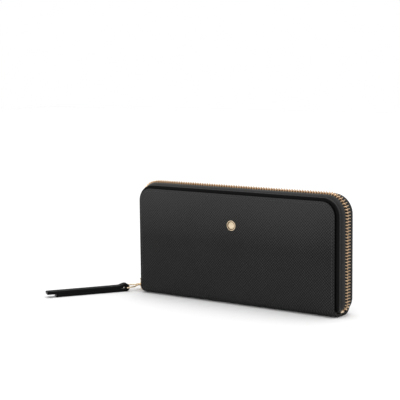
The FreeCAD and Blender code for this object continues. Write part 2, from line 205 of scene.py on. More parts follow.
cover_low, cover_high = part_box("front_leather")
HALF = cover_high.x
TOP = cover_high.z
FACE = -cover_low.y


def cross_grain_leather(name, dark, light, pitch, depth):
    """Embossed leather: two crossing rows of diagonal ridges, with painted light that makes it paler
    near the top.
    """
    finish, place = start_finish(name)
    along, across, up = axes(place)
    turn = math.tau / pitch
    waver = 6.0
    rising = (along + up + across) * turn + noise(place, 150.0, 3.0) * waver
    falling = (along - up - across) * (turn * 0.96) + noise(place, 210.0, 3.0) * waver
    ridges = place.maths("SINE", rising) * 0.6 + place.maths("SINE", falling) * 0.42
    grain = ridges * 0.8 + noise(place, 900.0, 1.0) * 0.7
    # Painted highlight: the colour grows paler over the top 45 % of the cover, standing in for light
    # from above.
    painted_top_light = place.node("ShaderNodeMapRange", {}, {0: up, 1: 0.55 * TOP, 2: TOP})
    grain_and_painted_top_light = grain + noise(place, 14.0, 3.0) * 0.6 + painted_top_light
    tint = place.node("ShaderNodeMapRange", {}, {0: grain_and_painted_top_light, 1: 0.25, 2: 1.75})
    set_finish(
        finish,
        Base_Color=between(tint, grey(dark), grey(light)),
        Roughness=0.62 - tint * 0.14,
        Specular_IOR_Level=0.17,
        Normal=relief(grain, depth, 0.7),
    )
    return finish


def painted_edge(name):
    """Thick gloss paint over the leather's cut edge, with slow waves from the brush."""
    finish, place = start_finish(name)
    waves = noise(place, 320.0, 2.0)
    set_finish(
        finish,
        Base_Color=grey(0.001),
        Roughness=0.26 + waves * 0.16,
        Specular_IOR_Level=0.08,
        Normal=relief(waves, 0.1 * mm, 0.5),
    )
    return finish


outer_grain = cross_grain_leather("black_cross_grain_leather", 0.0015, 0.032, 2.4 * mm, 0.24 * mm)
edge_paint = painted_edge("black_edge_paint")


def edit(mode_on=True):
    bpy.ops.object.mode_set(mode="EDIT" if mode_on else "OBJECT")


def pick(piece, part, test):
    """Selects the piece's vertices, edges or faces that pass a test, and nothing else."""
    edit()
    bpy.ops.mesh.select_mode(type={"vertices": "VERT", "edges": "EDGE", "polygons": "FACE"}[part])
    bpy.ops.mesh.select_all(action="DESELECT")
    edit(False)
    for item in getattr(piece.data, part):
        item.select = test(item)
    edit()


def cut(place, facing):
    """Cuts the whole mesh that is being edited along a plane, and keeps both sides."""
    bpy.ops.mesh.select_all(action="SELECT")
    bpy.ops.mesh.bisect(plane_co=place, plane_no=facing)


def settle(piece, angle=40):
    """Leaves edit mode, shades the piece smooth and gives it a place at the origin."""
    edit(False)
    bpy.ops.object.select_all(action="DESELECT")
    piece.select_set(True)
    bpy.context.view_layer.objects.active = piece
    bpy.ops.object.transform_apply(location=True, rotation=True, scale=True)
    bpy.ops.object.shade_smooth_by_angle(angle=math.radians(angle))


def modify(piece, kind, **settings):
    """Adds a modifier, sets it and applies it."""
    bpy.ops.object.select_all(action="DESELECT")
    piece.select_set(True)
    bpy.context.view_layer.objects.active = piece
    modifier = piece.modifiers.new(kind.lower(), kind)
    for key, value in settings.items():
        setattr(modifier, key, value)
    bpy.ops.object.modifier_apply(modifier=modifier.name)


def round_edges(piece, width, segments, sharp):
    """Bevels the edges that turn by more than sharp degrees."""
    modify(piece, "BEVEL", width=width, segments=segments, limit_method="ANGLE",
           angle_limit=math.radians(sharp))


def mirrored(piece, name, axis=1):
    """A copy of a finished piece on the other side of the middle plane."""
    other = piece.copy()
    other.data = piece.data.copy()
    other.name = name
    bpy.context.collection.objects.link(other)
    other.data.transform(Matrix.Scale(-1, 4, [float(i == axis) for i in range(3)]))
    other.data.flip_normals()
    return other


CORNER = 12 * mm
FOLD_RADIUS = 8.5 * mm
LEATHER = 1.4 * mm

bpy.ops.object.select_all(action="DESELECT")
bpy.ops.mesh.primitive_plane_add(size=1)
front_outer = bpy.context.object
front_outer.name = "front_outer_leather"
front_outer.scale = (2 * HALF, TOP - FOLD_RADIUS, 1)
front_outer.rotation_euler = (math.pi / 2, 0, 0)
front_outer.location = (0, -FACE, (TOP + FOLD_RADIUS) / 2)
bpy.ops.object.transform_apply(location=True, rotation=True, scale=True)
pick(front_outer, "vertices", lambda v: v.co.z > TOP - 1 * mm)
bpy.ops.mesh.bevel(offset=CORNER, segments=12, affect="VERTICES")
COLUMNS = 40
ROWS = 20
for i in range(1, COLUMNS):
    cut((-HALF + i * 2 * HALF / COLUMNS, 0, 0), (1, 0, 0))
for i in range(1, ROWS):
    cut((0, 0, FOLD_RADIUS + i * (TOP - FOLD_RADIUS) / ROWS), (0, 0, 1))
for inset in (1.2 * mm, 3.0 * mm):
    for side in (-1, 1):
        cut((side * (HALF - inset), 0, 0), (1, 0, 0))
    cut((0, 0, TOP - inset), (0, 0, 1))
pick(front_outer, "edges", lambda e: all(
    front_outer.data.vertices[i].co.z < FOLD_RADIUS + 0.01 * mm for i in e.vertices))
bpy.ops.mesh.spin(
    steps=12, angle=-math.pi / 2, center=(0, -FACE + FOLD_RADIUS, FOLD_RADIUS), axis=(1, 0, 0))
bpy.ops.mesh.extrude_region_move(TRANSFORM_OT_translate={"value": (0, FACE - FOLD_RADIUS, 0)})
bpy.ops.mesh.select_all(action="SELECT")
bpy.ops.mesh.remove_doubles(threshold=0.01 * mm)
bpy.ops.mesh.normals_make_consistent(inside=False)
edit(False)
EDGE_DROP = 0.55 * mm
EDGE_MARGIN = 9 * mm
for vertex in front_outer.data.vertices:
    x = abs(vertex.co.x)
    z = vertex.co.z
    corner_x = x - (HALF - CORNER)
    corner_z = z - (TOP - CORNER)
    if corner_x > 0 and corner_z > 0:
        margin = CORNER - math.hypot(corner_x, corner_z)
    else:
        margin = min(HALF - x, TOP - z)
    if z > FOLD_RADIUS:
        vertex.co.y += EDGE_DROP * max(0, 1 - margin / EDGE_MARGIN) ** 2
facing_back = sum(p.normal.y * p.area for p in front_outer.data.polygons)
if facing_back > 0:
    front_outer.data.flip_normals()
front_outer.data.materials.append(outer_grain)
front_outer.data.materials.append(edge_paint)
modify(front_outer, "SOLIDIFY", thickness=LEATHER, offset=-1, material_offset_rim=1)
round_edges(front_outer, 0.32 * mm, 2, 50)
settle(front_outer, 35)
back_outer = mirrored(front_outer, "back_outer_leather")
for piece, cover, side in ((front_outer, "front_cover", -1), (back_outer, "back_cover", 1)):
    side * FACE
    side * FACE
    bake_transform(piece)
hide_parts("front_leather", "spine_leather")
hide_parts("back_leather")


# ---- rim pieces: edge bead, welt and zip tape ----
# What goes round the left, top and right edges of a cover: a bead of edge paint over the
# board and lining, the rounded leather welt that carries the zip, and the zip's woven tape.
TAPE_OUT = 5 * mm
TAPE_LOW = 12 * mm
CURL = 9 * mm
WHOLE_FOLD = 90
WELT_FOLD = 54
TAPE_CURL = -76


def sweep_rim(name, section, low, ending):
    """Carries a closed section, (depth, distance out) in mm, round a front cover's edge.

    It starts at height low. An ending above 0 is how many degrees both ends go on round the
    spine's fold; below 0, how many the right end curls in by, while the left end runs straight.
    """
    bpy.ops.object.select_all(action="DESELECT")
    bpy.ops.mesh.primitive_circle_add(vertices=len(section), radius=mm, fill_type="NOTHING")
    piece = bpy.context.object
    piece.name = name
    for vertex, (deep, out) in zip(piece.data.vertices, section):
        vertex.co = (-HALF - out * mm, -FACE + deep * mm, low)
    edit()
    bpy.ops.mesh.select_all(action="SELECT")
    first = 6 * mm
    bpy.ops.mesh.extrude_region_move(TRANSFORM_OT_translate={"value": (0, 0, first)})
    bpy.ops.mesh.extrude_region_move(
        TRANSFORM_OT_translate={"value": (0, 0, TOP - CORNER - low - first)})
    bpy.ops.mesh.spin(
        steps=14, angle=-math.pi / 2, center=(-HALF + CORNER, 0, TOP - CORNER), axis=(0, 1, 0))
    bpy.ops.mesh.extrude_region_move(TRANSFORM_OT_translate={"value": (2 * (HALF - CORNER), 0, 0)})
    bpy.ops.mesh.spin(
        steps=14, angle=-math.pi / 2, center=(HALF - CORNER, 0, TOP - CORNER), axis=(0, 1, 0))
    bpy.ops.mesh.extrude_region_move(
        TRANSFORM_OT_translate={"value": (0, 0, low + first - TOP + CORNER)})
    bpy.ops.mesh.extrude_region_move(TRANSFORM_OT_translate={"value": (0, 0, -first)})
    edit(False)
    points = piece.data.vertices

    def at_end(edge):
        return all(points[i].co.z < low + 0.01 * mm for i in edge.vertices)

    if ending > 0:
        pick(piece, "edges", at_end)
        bpy.ops.mesh.spin(
            steps=max(3, int(ending / 9)), angle=-math.radians(ending),
            center=(0, -FACE + FOLD_RADIUS, FOLD_RADIUS), axis=(1, 0, 0))
    if ending == WHOLE_FOLD:
        bpy.ops.mesh.extrude_region_move(
            TRANSFORM_OT_translate={"value": (0, FACE - FOLD_RADIUS, 0)})
    if ending < 0:
        pick(piece, "edges", lambda e: at_end(e) and points[e.vertices[0]].co.x > 0)
        bpy.ops.mesh.spin(
            steps=10, angle=math.radians(ending),
            center=(HALF + TAPE_OUT - CURL, 0, low), axis=(0, 1, 0))
        pick(piece, "edges", lambda e: at_end(e) and points[e.vertices[0]].co.x < 0)
        bpy.ops.mesh.extrude_region_move(TRANSFORM_OT_translate={"value": (0, 0, -CURL)})
    bpy.ops.mesh.select_all(action="SELECT")
    bpy.ops.mesh.fill_holes(sides=0)
    bpy.ops.mesh.select_all(action="SELECT")
    bpy.ops.mesh.remove_doubles(threshold=0.005 * mm)
    bpy.ops.mesh.normals_make_consistent(inside=False)
    edit(False)
    return piece


def place_rims(front_rim, back_rim, node):
    """Fixes a front and a back rim piece in place; node is what they stand for."""
    for rim, cover, side in ((front_rim, "front", -1), (back_rim, "back", 1)):
        cover + "_cover"
        side * FACE
        side * FACE
        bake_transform(rim)
        if node:
            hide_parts(cover + node)


bead = sweep_rim("front_edge_bead", [
    (1.1, -1.2), (1.1, -0.5), (1.25, -0.1), (1.6, 0.02), (2.1, 0.0), (2.5, -0.2), (2.6, -0.7),
    (2.5, -1.2),
], FOLD_RADIUS, WHOLE_FOLD)
modify(bead, "SUBSURF", levels=1, render_levels=1)
bead.data.materials.append(edge_paint)
settle(bead)
place_rims(bead, mirrored(bead, "back_edge_bead"), None)


def smooth_leather(name, level, roughness, shine):
    """Plain black calf: fine pebbled pores, a little uneven in gloss."""
    finish, place = start_finish(name)
    pores = place.node("ShaderNodeTexVoronoi", {}, {"Vector": place, "Scale": 1500.0})
    cloud = noise(place, 60.0, 4.0)
    set_finish(
        finish,
        Base_Color=between(cloud, grey(level * 0.7), grey(level * 1.4)),
        Roughness=roughness + cloud * 0.15,
        Specular_IOR_Level=shine,
        Normal=relief(pores + cloud * 0.6, 0.08 * mm, 0.5),
    )
    return finish


welt_calf = smooth_leather("black_welt_calf", 0.011, 0.5, 0.2)


def make_welt(name, proud):
    """A cover's folded welt; proud is how many mm further out than the front one it stands."""
    section = [
        (2.5, -4.5), (2.5, -1.6), (2.6, -0.6), (2.7, 0.6), (2.9, 1.6), (3.3, 2.4), (3.9, 2.8),
        (4.8, 2.9), (5.8, 2.75), (6.7, 2.35), (7.3, 1.8), (7.2, 1.2), (6.4, 0.95), (5.4, 0.5),
        (4.7, -0.4), (4.1, -1.9), (3.5, -2.5), (3.3, -4.5),
    ]
    raised = [(deep, out + proud * max(0, min(1, out))) for deep, out in section]
    piece = sweep_rim(name, raised, FOLD_RADIUS, WELT_FOLD)
    modify(piece, "SUBSURF", levels=1, render_levels=1)
    piece.data.materials.append(welt_calf)
    piece.data.materials.append(edge_paint)
    # The welt's front-facing wall, up to 3.8 mm behind the cover's face, gets the black edge paint:
    # partly its own dark finish, partly painted shade of the groove beside the cover's edge.
    shaded_front_wall_back_to = -FACE + 3.8 * mm
    for polygon in piece.data.polygons:
        if polygon.normal.y < -0.35 and polygon.center.y < shaded_front_wall_back_to:
            polygon.material_index = 1
    # A proud welt draws in towards the cover over its lowest part, where it meets the fold.
    draws_in_below = 14 * mm
    for vertex in piece.data.vertices:
        sunk = max(0, draws_in_below - vertex.co.z) / (10 * mm)
        beyond = abs(vertex.co.x) - HALF
        if proud and beyond > 0:
            kept = max(0.1, 1 - 0.9 * sunk ** 2)
            vertex.co.x = math.copysign(HALF + beyond * kept, vertex.co.x)
    settle(piece)
    return piece


BACK_WELT_PROUD = 1.5
welt = make_welt("front_welt_leather", 0)
proud_welt = make_welt("back_welt_shape", BACK_WELT_PROUD)
place_rims(welt, mirrored(proud_welt, "back_welt_leather"), "_welt")
bpy.data.objects.remove(proud_welt)


def woven_tape(name):
    """Black polyester zip tape: a tight herringbone of warp and weft, nearly matt."""
    finish, place = start_finish(name)
    x, y, z = axes(place)
    weft = place.maths("SINE", (x + z) * (math.tau / (0.55 * mm)))
    warp = place.maths("SINE", y * (math.tau / (0.5 * mm)))
    fuzz = noise(place, 2400.0, 2.0)
    level = (weft * warp * 0.5 + 0.5) * 0.6 + fuzz * 0.4
    set_finish(
        finish,
        Base_Color=between(level, grey(0.006), grey(0.03)),
        Roughness=0.78 + fuzz * 0.15,
        Specular_IOR_Level=0.25,
        Sheen_Weight=0.25,
        Sheen_Roughness=0.5,
        Normal=relief(level, 0.1 * mm, 0.8),
    )
    return finish


tape_weave = woven_tape("black_zip_tape")
tape = sweep_rim("front_zip_tape_woven", [
    (5.4, -0.1), (6.4, 0.5), (7.3, 1.3), (7.9, 2.4), (8.5, 3.4), (9.2, 4.2), (10.1, 4.7),
    (11.2, 4.8), (11.9, 4.8), (12.2, 4.5), (11.9, 4.2), (11.2, 4.2), (10.4, 4.1), (9.6, 3.6),
    (9.0, 3.0), (8.4, 2.0), (7.7, 0.9), (6.7, 0.1), (5.6, -0.5),
], TAPE_LOW, TAPE_CURL)
modify(tape, "SUBSURF", levels=1, render_levels=1)
tape.data.materials.append(tape_weave)
tape.data.materials.append(edge_paint)
# The tape under the teeth gets the black edge paint, which shows as painted shade in the gaps between
# the teeth.
shaded_under_teeth_from = -FACE + 10 * mm
for polygon in tape.data.polygons:
    if polygon.center.y > shaded_under_teeth_from:
        polygon.material_index = 1
settle(tape)
place_rims(tape, mirrored(tape, "back_zip_tape_woven"), "_zip_tape")
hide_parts("zip_end_tape", "zip_start_tape")


# ---- zip teeth ----
# Size 5 metal teeth, each a small pressed block clamped on the tape's edge with a rounded
# head that hooks between two heads of the other row. Pale gold plate, bright on the heads.
def pale_gold(name, colour, roughness):
    """Gold plate with hair-fine scuffs and a slightly uneven shine."""
    finish, place = start_finish(name)
    scuffs = noise(place, 1100.0, 4.0)
    darker = tuple(0.8 * c for c in colour) + (1,)
    set_finish(
        finish,
        Base_Color=between(noise(place, 160.0, 2.0), darker, colour + (1,)),
        Metallic=1.0,
        Roughness=roughness + scuffs * 0.15,
        Normal=relief(scuffs, 0.02 * mm, 0.35),
    )
    return finish


tooth_gold = pale_gold("pale_gold_teeth", (0.62, 0.44, 0.28), 0.26)
hardware_gold = pale_gold("pale_gold_hardware", (0.82, 0.67, 0.48), 0.2)
PITCH = 2.5 * mm
SLIDER_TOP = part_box("slider_body")[1].z


def on_rim(distance, out, start):
    """Matrix of a point along the rim: its X runs along the chain, its Z points outwards."""
    radius = CORNER + out
    side = TOP - CORNER - start
    bend = radius * math.pi / 2
    top = 2 * (HALF - CORNER)
    left_corner = Vector((-HALF + CORNER, 0, TOP - CORNER))
    right_corner = Vector((HALF - CORNER, 0, TOP - CORNER))
    if distance < side:
        turn = -math.pi / 2
        place = Vector((-HALF - out, 0, start + distance))
    elif distance < side + bend:
        turn = -math.pi / 2 + (distance - side) / radius
        place = left_corner + Vector((math.sin(turn), 0, math.cos(turn))) * radius
    elif distance < side + bend + top:
        turn = 0
        place = Vector((-HALF + CORNER + distance - side - bend, 0, TOP + out))
    elif distance < side + 2 * bend + top:
        turn = (distance - side - bend - top) / radius
        place = right_corner + Vector((math.sin(turn), 0, math.cos(turn))) * radius
    else:
        turn = math.pi / 2
        place = Vector((HALF + out, 0, TOP - CORNER - (distance - side - 2 * bend - top)))
    return Matrix.Translation(place) @ Matrix.Rotation(turn, 4, "Y")


def copies(pattern, places, name):
    """Joins one copy of a pattern's mesh at each place into a single piece."""
    made = []
    for place in places:
        one = pattern.copy()
        one.data = pattern.data.copy()
        one.data.transform(place)
        bpy.context.collection.objects.link(one)
        made.append(one)
    bpy.ops.object.select_all(action="DESELECT")
    for one in made:
        one.select_set(True)
    bpy.context.view_layer.objects.active = made[0]
    bpy.ops.object.join()
    made[0].name = name
    return made[0]


TOOTH_BACK = 3.3 * mm
TOOTH_PARTS = (
    # tip, head, neck, leg and leg's end: what each lies in front of, its width, height and sink
    (0.5, 0.7, 0.5, 0.55),
    (-0.5, 0.95, 0.7, 0.45),
    (-1.5, 0.7, 0.7, 0.45),
    (-2.5, 0.6, 1.3, 0.0),
    (-9, 0.8, 0.5, 0.0),
)


def zip_tooth(name, slant):
    """A front-row tooth: a leg clamped on the tape, a neck, and a head past the middle."""
    bpy.ops.object.select_all(action="DESELECT")
    bpy.ops.mesh.primitive_cube_add(size=1, location=(0, 2 * mm - TOOTH_BACK, 0))
    tooth = bpy.context.object
    tooth.name = name
    tooth.scale = (0.8 * mm, 4.0 * mm, 2.1 * mm)
    bpy.ops.object.transform_apply(location=True, rotation=True, scale=True)
    edit()
    for back in (-1.9 * mm, -1.2 * mm, -0.4 * mm):
        cut((0, back, 0), (0, 1, 0))
    edit(False)
    for vertex in tooth.data.vertices:
        y = vertex.co.y / mm
        wide, tall, sink = next(part[1:] for part in TOOTH_PARTS if y > part[0])
        if y < -1.5 and vertex.co.z < 0:
            wide = 1.0
            tall = 1.0
        vertex.co.x = vertex.co.x * wide + slant * (vertex.co.y + TOOTH_BACK)
        vertex.co.z = vertex.co.z * tall + (0.1 - sink) * mm
    round_edges(tooth, 0.1 * mm, 1, 30)
    tooth.data.materials.append(tooth_gold)
    settle(tooth, 35)
    return tooth


def both_rows(front_tooth, back_tooth, places, front_name, back_name):
    """A row of each cover's teeth, whose heads come between each other in the middle."""
    return copies(front_tooth, places, front_name), copies(back_tooth, places, back_name)


HEAD_REACH = 3.7 * mm
tooth = zip_tooth("front_tooth", PITCH / 2 / HEAD_REACH)
straight_tooth = zip_tooth("straight_tooth", 0.0)
back_tooth = mirrored(straight_tooth, "back_tooth")
RIGHT_LOW = 12.3 * mm
chain = math.pi * (CORNER + TAPE_OUT) + 2 * (HALF - CORNER) + 2 * (TOP - CORNER) - SLIDER_TOP - RIGHT_LOW
tooth_count = int((chain - 0.2 * PITCH) / PITCH)
FIRST = 0.4
chain_places = [on_rim((i + FIRST) * PITCH, TAPE_OUT, SLIDER_TOP) for i in range(tooth_count)]
front_teeth, back_teeth = both_rows(
    tooth, back_tooth, chain_places, "front_zip_teeth_row", "back_zip_teeth_row")
for row, cover in ((front_teeth, "front"), (back_teeth, "back")):
    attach(row, cover + "_cover")
    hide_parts(cover + "_zip_teeth")

curl_centre = Vector((HALF + TAPE_OUT - CURL, 0, TAPE_LOW))
last_gap = chain - (tooth_count - 1 + FIRST) * PITCH + RIGHT_LOW - TAPE_LOW
end_places = []
for i in range(4):
    turn = math.pi / 2 + (PITCH * (i + 1) - last_gap) / CURL
    place = curl_centre + Vector((math.sin(turn), 0, math.cos(turn))) * CURL
    end_places.append(Matrix.Translation(place) @ Matrix.Rotation(turn, 4, "Y"))
end_teeth, end_back = both_rows(
    tooth, back_tooth, end_places, "zip_end_teeth_row", "zip_end_teeth_back")
bpy.ops.object.select_all(action="DESELECT")
end_back.select_set(True)
end_teeth.select_set(True)
bpy.context.view_layer.objects.active = end_teeth
bpy.ops.object.join()
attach(end_teeth, "spine")
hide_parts("zip_end_teeth")
for pattern in (tooth, straight_tooth, back_tooth):
    bpy.data.objects.remove(pattern)


# ---- stitching ----
# Black waxed thread, tone on tone, 2.3 mm inside the cover's edge: short stitches that sink
# at both ends into the leather.
def waxed_thread(name):
    """Twisted black thread, a touch lighter and glossier than the leather."""
    finish, place = start_finish(name)
    x, _, z = axes(place)
    twist = place.maths("SINE", (x * 1.4 + z) * (math.tau / (0.35 * mm)))
    set_finish(
        finish,
        Base_Color=grey(0.026),
        Roughness=0.5 + twist * 0.06,
        Specular_IOR_Level=0.4,
        Normal=relief(twist, 0.05 * mm, 0.6),
    )
    return finish


thread = waxed_thread("black_waxed_thread")
STITCH_PITCH = 2.9 * mm
STITCH_IN = 2.3 * mm
STITCH_LOW = 12 * mm


def stitch_along_x(thickness, length, segments, rings):
    """One stitch lying along X: a spindle that tapers at both ends."""
    bpy.ops.object.select_all(action="DESELECT")
    bpy.ops.mesh.primitive_uv_sphere_add(
        segments=segments, ring_count=rings, radius=1, rotation=(0, math.pi / 2, 0))
    one = bpy.context.object
    one.scale = (thickness / 2, thickness / 2, length / 2)
    bpy.ops.object.transform_apply(location=True, rotation=True, scale=True)
    one.data.materials.append(thread)
    return one


stitch = stitch_along_x(0.6 * mm, 2.24 * mm, 8, 6)
for vertex in stitch.data.vertices:
    vertex.co.y = vertex.co.y + 0.05 * mm * (vertex.co.x / mm) ** 2
settle(stitch, 60)
bends = math.pi * (CORNER - STITCH_IN)
run = 2 * (TOP - CORNER - STITCH_LOW) + bends + 2 * (HALF - CORNER)
on_face = Matrix.Translation((0, -FACE + 0.3 * mm, 0))
stitch_places = []
for i in range(int(run / STITCH_PITCH)):
    stitch_places.append(on_face @ on_rim((i + 0.5) * STITCH_PITCH, -STITCH_IN, STITCH_LOW))
front_stitches = copies(stitch, stitch_places, "front_stitching")
bpy.data.objects.remove(stitch)
back_stitches = mirrored(front_stitches, "back_stitching")
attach(front_stitches, "front_cover")
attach(back_stitches, "back_cover")


# ---- stud ----
# A round stud of pale gold plate, riveted through the front cover: a plain dome inside a
# raised rim.
def give(node_names, finish):
    """A CAD part whose shape is right keeps it, and gets its own finish."""
    for name in node_names:
        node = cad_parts[name]
        node.data.materials.clear()
        node.data.materials.append(finish)


stud_low, stud_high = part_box("stud_cap")
stud_middle = (stud_low + stud_high) / 2
STUD_RADIUS = 4.35 * mm
STUD_STEPS = (
    # each ring's step inwards and forwards, in mm: wall, rim, groove, dome
    (0.0, 0.75), (0.1, 0.2), (0.24, 0.12), (0.28, -0.05),
    (0.2, -0.4), (0.34, -0.08), (0.2, 0.2),
    (0.5, 0.3), (0.7, 0.22), (0.75, 0.12), (0.5, 0.02),
)
bpy.ops.object.select_all(action="DESELECT")
bpy.ops.mesh.primitive_circle_add(
    vertices=56, radius=STUD_RADIUS, fill_type="NGON", rotation=(math.pi / 2, 0, 0),
    location=(stud_middle.x, -FACE + 0.3 * mm, stud_middle.z))
stud = bpy.context.object
stud.name = "stud_dome"
bpy.ops.object.transform_apply(location=True, rotation=True, scale=True)
edit()
bpy.ops.mesh.select_all(action="SELECT")
for inwards, forwards in STUD_STEPS:
    if inwards:
        bpy.ops.mesh.inset(thickness=inwards * mm)
        bpy.ops.transform.translate(value=(0, -forwards * mm, 0))
    else:
        bpy.ops.mesh.extrude_region_move(TRANSFORM_OT_translate={"value": (0, -forwards * mm, 0)})
bpy.ops.mesh.select_all(action="SELECT")
bpy.ops.mesh.fill_holes(sides=0)
bpy.ops.mesh.select_all(action="SELECT")
bpy.ops.mesh.normals_make_consistent(inside=False)
edit(False)
stud.data.materials.append(hardware_gold)
stud.data.materials.append(pale_gold("groove_painted_shade_gold", (0.26, 0.18, 0.11), 0.45))
# Painted shade: the faces in the ring groove get a darker gold that stands in for the shade in the
# recess.
for polygon in stud.data.polygons:
    middle = polygon.center
    out = math.hypot(middle.x - stud_middle.x, middle.z - stud_middle.z) / STUD_RADIUS
    if 0.66 < out < 0.86 and middle.y < -FACE:
        polygon.material_index = 1
settle(stud, 35)
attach(stud, "front_cover")
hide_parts("stud_cap")
give(["stud_washer"], hardware_gold)


# ---- slider, stops and link ----
# Die-cast zip slider with a bridge on its back for the pull, the stops pressed on the chain's
# ends, and the bent-wire link that joins the bridge to the strap; all pale gold plate.
give(["slider_body", "slider_bail", "pull_link", "zip_top_stops", "zip_bottom_stop"], hardware_gold)


# ---- pull strap ----
# A strip of smooth black calf folded over the link's far bar, two unequal legs lying one on
# the other, with thick black paint on every cut edge.
STRAP_YAW = math.radians(180 + 56)
STRAP_WIDE = 7.6 * mm
LOWER_LEG = 64 * mm
STRAP_THICK = 2.7 * mm
EYE = 3.5 * mm - STRAP_THICK / 2
EYE_ROOM = 1.6 * mm
BAR_HEIGHT = 3.6 * mm
LINK_REACH = 16.5 * mm
LINK_DROP = 1.0 * mm
LINK_YAW = math.radians(180 + 66)
BAIL_OUT = 10.2 * mm
UPPER_LEG = (
    # steps along and down, in mm, from the top of the eye until it lies on the lower leg
    (1.5, 0.22), (1.8, 0.73), (2, 0.5), (3, 0.08), (6, 0.03), (14, 0.02), (18, 0.0), (25.7, 0.0),
)
link_level = math.sqrt(LINK_REACH ** 2 - LINK_DROP ** 2)
strap_bar = Vector((
    -HALF - BAIL_OUT + link_level * math.cos(LINK_YAW), link_level * math.sin(LINK_YAW), BAR_HEIGHT))
bpy.ops.object.select_all(action="DESELECT")
bpy.ops.mesh.primitive_plane_add(size=1, location=(LOWER_LEG / 2, 0, -EYE))
strap = bpy.context.object
strap.name = "folded_strap"
strap.scale = (LOWER_LEG, STRAP_WIDE, 1)
bpy.ops.object.transform_apply(location=True, rotation=True, scale=True)
pick(strap, "edges", lambda e: all(strap.data.vertices[i].co.x < 0.01 * mm for i in e.vertices))
bpy.ops.mesh.spin(steps=12, angle=-math.pi, center=(0, 0, 0), axis=(0, 1, 0))
for along, down in UPPER_LEG:
    bpy.ops.mesh.extrude_region_move(TRANSFORM_OT_translate={"value": (along * mm, 0, -down * mm)})
for i in range(1, 10):
    cut((i * 7 * mm, 0, 0), (1, 0, 0))
for i in (-3, -1, 1, 3):
    cut((0, i * 1.1 * mm, 0), (0, 1, 0))
bpy.ops.mesh.select_all(action="SELECT")
bpy.ops.mesh.remove_doubles(threshold=0.01 * mm)
bpy.ops.mesh.normals_make_consistent(inside=False)
edit(False)
strap_calf = smooth_leather("black_strap_calf", 0.0008, 0.45, 0.04)
strap.data.materials.append(strap_calf)
strap.data.materials.append(edge_paint)
modify(strap, "SOLIDIFY", thickness=STRAP_THICK, offset=0, material_offset_rim=1)
round_edges(strap, 0.4 * mm, 3, 50)
for vertex in strap.data.vertices:
    from_bar = math.hypot(vertex.co.x, vertex.co.z)
    if from_bar < EYE_ROOM:
        vertex.co.x *= EYE_ROOM / from_bar
        vertex.co.z *= EYE_ROOM / from_bar
strap.matrix_world = Matrix.Translation(strap_bar) @ Matrix.Rotation(STRAP_YAW, 4, "Z")
settle(strap, 45)
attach(strap, "zip_strap")
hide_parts("pull_strap")


# ---- linings, boards and coin pocket ----
# Black cotton twill lines the covers, the spine and the coin pocket; grey board stiffens the
# covers; the coin pocket closes with a finer zip whose teeth and slider are the same plate.
def twill_cloth(name, dark, light):
    """Cotton twill: fine diagonal wales crossed by the weft, quite matt."""
    finish, place = start_finish(name)
    x, y, z = axes(place)
    wale = place.maths("SINE", (x + y * 0.7 + z) * (math.tau / (0.9 * mm)))
    weft = place.maths("SINE", (x - z) * (math.tau / (0.5 * mm)))
    slub = noise(place, 500.0, 3.0)
    level = wale * 0.3 + weft * 0.12 + slub * 0.5 + 0.25
    set_finish(
        finish,
        Base_Color=between(level, grey(dark), grey(light)),
        Roughness=0.8 + slub * 0.15,
        Specular_IOR_Level=0.2,
        Sheen_Weight=0.15,
        Normal=relief(level, 0.1 * mm, 0.7),
    )
    return finish


def pressed_board(name):
    """Grey fibre board, pressed flat, with stray fibres showing."""
    finish, place = start_finish(name)
    fibres = noise(place, 700.0, 6.0)
    set_finish(
        finish,
        Base_Color=between(fibres, grey(0.06, 0.06), grey(0.16, 0.06)),
        Roughness=0.85 + fibres * 0.1,
        Specular_IOR_Level=0.2,
        Normal=relief(fibres, 0.1 * mm, 0.4),
    )
    return finish


lining_twill = twill_cloth("black_lining_twill", 0.006, 0.028)
pocket_twill = twill_cloth("black_pocket_twill", 0.008, 0.034)
fibre_board = pressed_board("grey_fibre_board")
give(["front_lining", "back_lining", "spine_lining"], lining_twill)
give(["front_board", "back_board"], fibre_board)
give([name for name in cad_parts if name.startswith("coin_pocket")], pocket_twill)
give(["coin_zip_tape_front", "coin_zip_tape_back"], tape_weave)
give(["coin_zip_teeth_front", "coin_zip_teeth_back"], tooth_gold)
give(["coin_zip_stops", "coin_slider_body", "coin_slider_bail", "coin_pull"], hardware_gold)

coin_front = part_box("coin_pocket_front")
BINDING_LOW = 62.5 * mm
BINDING_TALL = 10 * mm
bpy.ops.object.select_all(action="DESELECT")
bpy.ops.mesh.primitive_plane_add(
    size=1, rotation=(math.pi / 2, 0, 0),
    location=(0, coin_front[0].y, BINDING_LOW + BINDING_TALL / 2))
binding = bpy.context.object
binding.name = "coin_pocket_front_binding"
binding.scale = (2 * coin_front[1].x - 1 * mm, BINDING_TALL, 1)
bpy.ops.object.transform_apply(location=True, rotation=True, scale=True)
edit()
for i in range(1, 12):
    cut(((i - 6) * 15 * mm, 0, 0), (1, 0, 0))
for height in (63.6, 64.6, 67.5, 71.4):
    cut((0, 0, height * mm), (0, 0, 1))
edit(False)
for vertex in binding.data.vertices:
    swell = math.sin(math.pi * (vertex.co.z - BINDING_LOW) / BINDING_TALL)
    vertex.co.y -= 0.15 * mm * max(0, swell)
if sum(p.normal.y for p in binding.data.polygons) > 0:
    binding.data.flip_normals()
pocket_calf = smooth_leather("black_pocket_calf", 0.012, 0.45, 0.25)
binding.data.materials.append(pocket_calf)
binding.data.materials.append(edge_paint)
modify(binding, "SOLIDIFY", thickness=0.5 * mm, offset=1, material_offset_rim=1)
round_edges(binding, 0.18 * mm, 2, 50)
settle(binding, 45)
back_binding = mirrored(binding, "coin_pocket_back_binding")
for piece in (binding, back_binding):
    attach(piece, "spine")


# ---- card pockets and bill panels ----
# Four stepped pockets of thin calf on each cover in two columns, their top edges turned over
# and creased, stitched round the outside and down the middle through to the bill panel.
CARD_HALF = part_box("front_card_pocket_1")[1].x
card_names = [side + "_card_pocket_" + str(i) for side in ("front", "back") for i in range(1, 5)]
give(card_names + ["front_bill_panel", "back_bill_panel"], pocket_calf)


